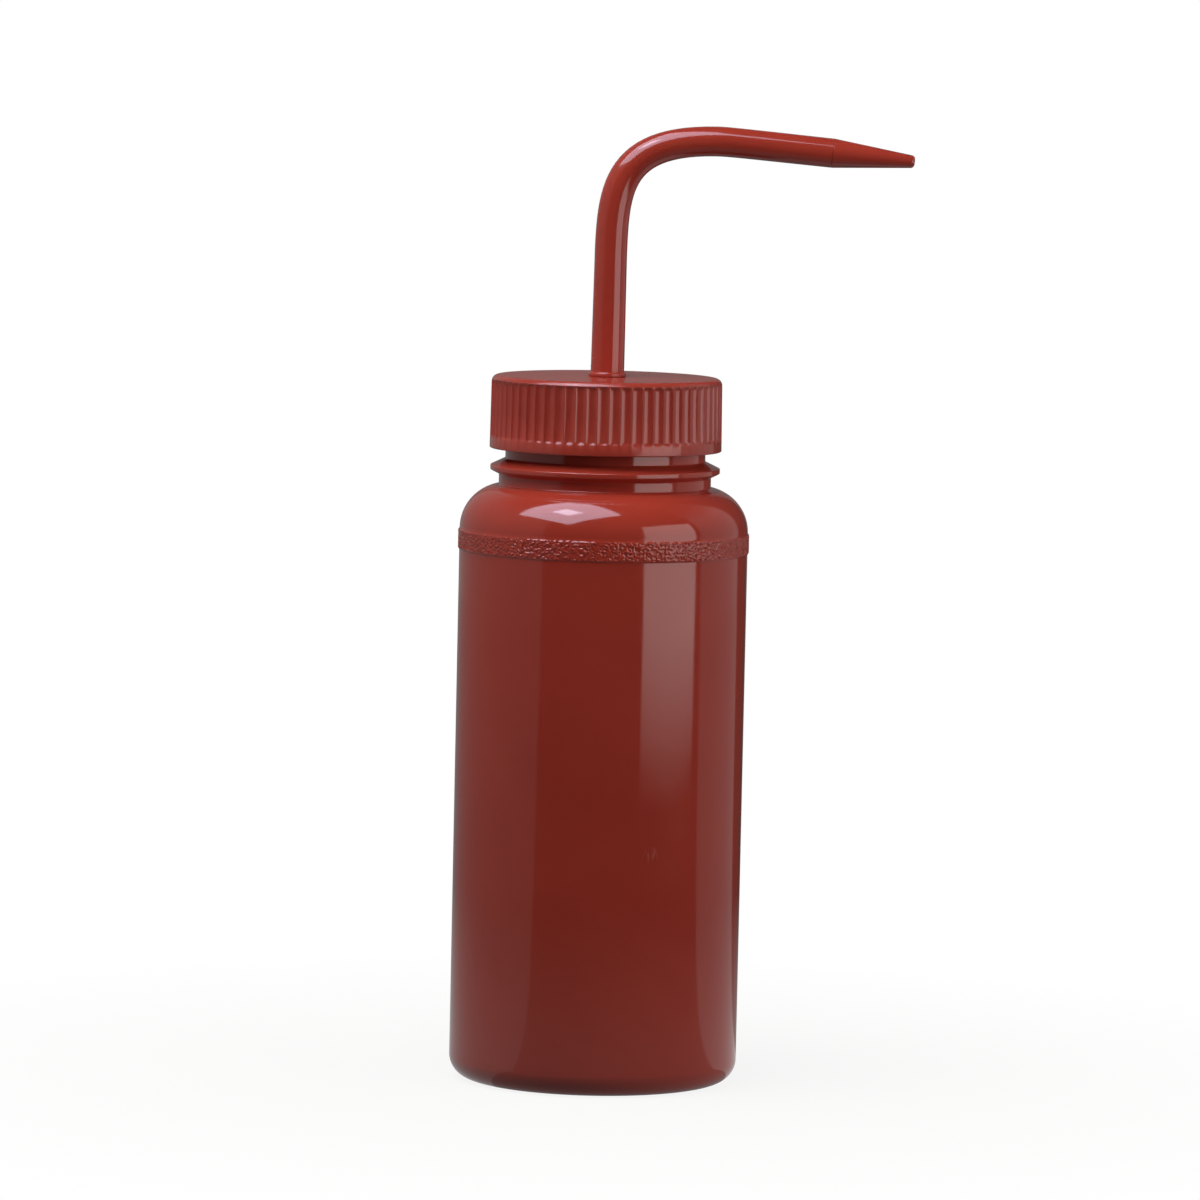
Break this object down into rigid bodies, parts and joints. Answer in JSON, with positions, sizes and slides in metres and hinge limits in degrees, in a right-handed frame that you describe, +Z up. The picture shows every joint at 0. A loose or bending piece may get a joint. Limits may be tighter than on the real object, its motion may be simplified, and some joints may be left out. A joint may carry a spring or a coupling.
{
  "type": "wash bottle",
  "caption": "Squeeze wash bottle with a round body, grip band, sloping shoulder, ribbed screw cap and a bent delivery tube with a tapered jet.",
  "frame": {"origin": "centre of the ring that the bottle stands on, on the bottle's axis", "axes": "+Z up along the bottle's axis, +X the way the spout points"},
  "size_m": [0.118, 0.0768, 0.2524],
  "materials": {
    "bottle_plastic": "glossy, opaque brick-red polyethylene",
    "cap_plastic": "semi-gloss, opaque brick-red polypropylene",
    "tube_plastic": "glossy, opaque brick-red polyethylene",
    "liner": "soft matt polyethylene foam",
    "dip_plastic": "satin, milky polyethylene"
  },
  "bodies": {
    "bottle": {"bottle": "bottle_plastic"},
    "liner": {"cap_liner": "liner"},
    "cap": {"screw_cap": "cap_plastic"},
    "spout": {"spout_tube": "tube_plastic", "jet_nozzle": "tube_plastic", "dip_tube": "dip_plastic"}
  },
  "joints": [
    {"name": "cap_lift", "type": "slide", "parent": "bottle", "child": "liner", "axis": [0, 0, 1], "range_m": [0, 0.00526]},
    {"name": "cap_turn", "type": "hinge", "parent": "liner", "child": "cap", "pos_m": [0, 0, 0.17], "axis": [0, 0, 1], "range_deg": [0, 450]},
    {"name": "spout_swivel", "type": "hinge", "parent": "cap", "child": "spout", "pos_m": [0, 0, 0.186], "axis": [0, 0, 1], "continuous": true}
  ],
  "couplings": [
    {"joint": "cap_lift", "follows": "cap_turn", "m_per_rad": 0.00066845}
  ]
}
